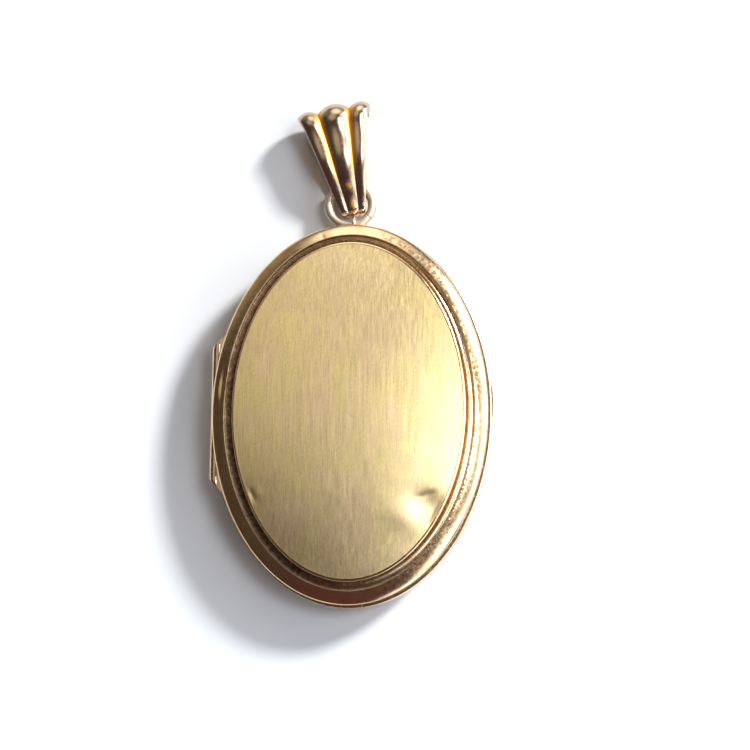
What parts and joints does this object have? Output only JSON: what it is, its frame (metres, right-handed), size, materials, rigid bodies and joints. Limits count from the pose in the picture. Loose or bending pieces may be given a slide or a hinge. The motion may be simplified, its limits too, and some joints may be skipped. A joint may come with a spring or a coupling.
{
  "type": "locket",
  "caption": "Oval hinged picture locket with bead-edged covers, satin panels, glazed picture compartments, and a fluted bail on a jump ring.",
  "frame": {"origin": "centre of the flat back panel's outer face, which the locket lies on", "axes": "+Z out of the front cover, +Y along the oval towards the bail, +X towards the opening side; the hinge is at -X"},
  "size_m": [0.0255, 0.0467, 0.0057],
  "materials": {
    "cover_gold": "rolled gold, satin-brushed panels, polished bead border",
    "rim_gold": "polished rolled gold",
    "frame_gold": "soft polished gilding metal",
    "ring_gold": "polished gold wire",
    "bail_gold": "bright polished gold sheet",
    "hinge_wire": "drawn wire",
    "crystal": "clear, polished",
    "card": "blank aged card, matt"
  },
  "bodies": {
    "back_half": {"back_cover_shell": "cover_gold", "back_rim_plate": "rim_gold", "closing_band": "rim_gold", "back_picture_frame": "frame_gold", "back_glass": "crystal", "back_picture_card": "card", "back_liner_plate": "frame_gold", "hinge_knuckle_top": "rim_gold", "hinge_knuckle_bottom": "rim_gold", "hinge_pin": "hinge_wire", "pendant_eye": "ring_gold"},
    "front_cover": {"front_cover_shell": "cover_gold", "front_rim_plate": "rim_gold", "front_picture_frame": "frame_gold", "front_glass": "crystal", "front_picture_card": "card", "front_liner_plate": "frame_gold", "hinge_knuckle_middle": "rim_gold", "thumb_lip": "rim_gold"},
    "ring": {"jump_ring": "ring_gold"},
    "bail_loop": {"bail": "bail_gold"}
  },
  "joints": [
    {"name": "cover_hinge", "type": "hinge", "parent": "back_half", "child": "front_cover", "pos_m": [-0.01203, 0, 0.00235], "axis": [0, -1, 0], "range_deg": [0, 128]},
    {"name": "ring_swing", "type": "hinge", "parent": "back_half", "child": "ring", "pos_m": [0, 0.01768, 0.00142], "axis": [1, 0, 0], "range_deg": [-80, 80]},
    {"name": "bail_sway", "type": "hinge", "parent": "ring", "child": "bail_loop", "pos_m": [-0.0004, 0.01963, 0.0012], "axis": [0, 0.1132, 0.9936], "range_deg": [-24, 36]}
  ]
}
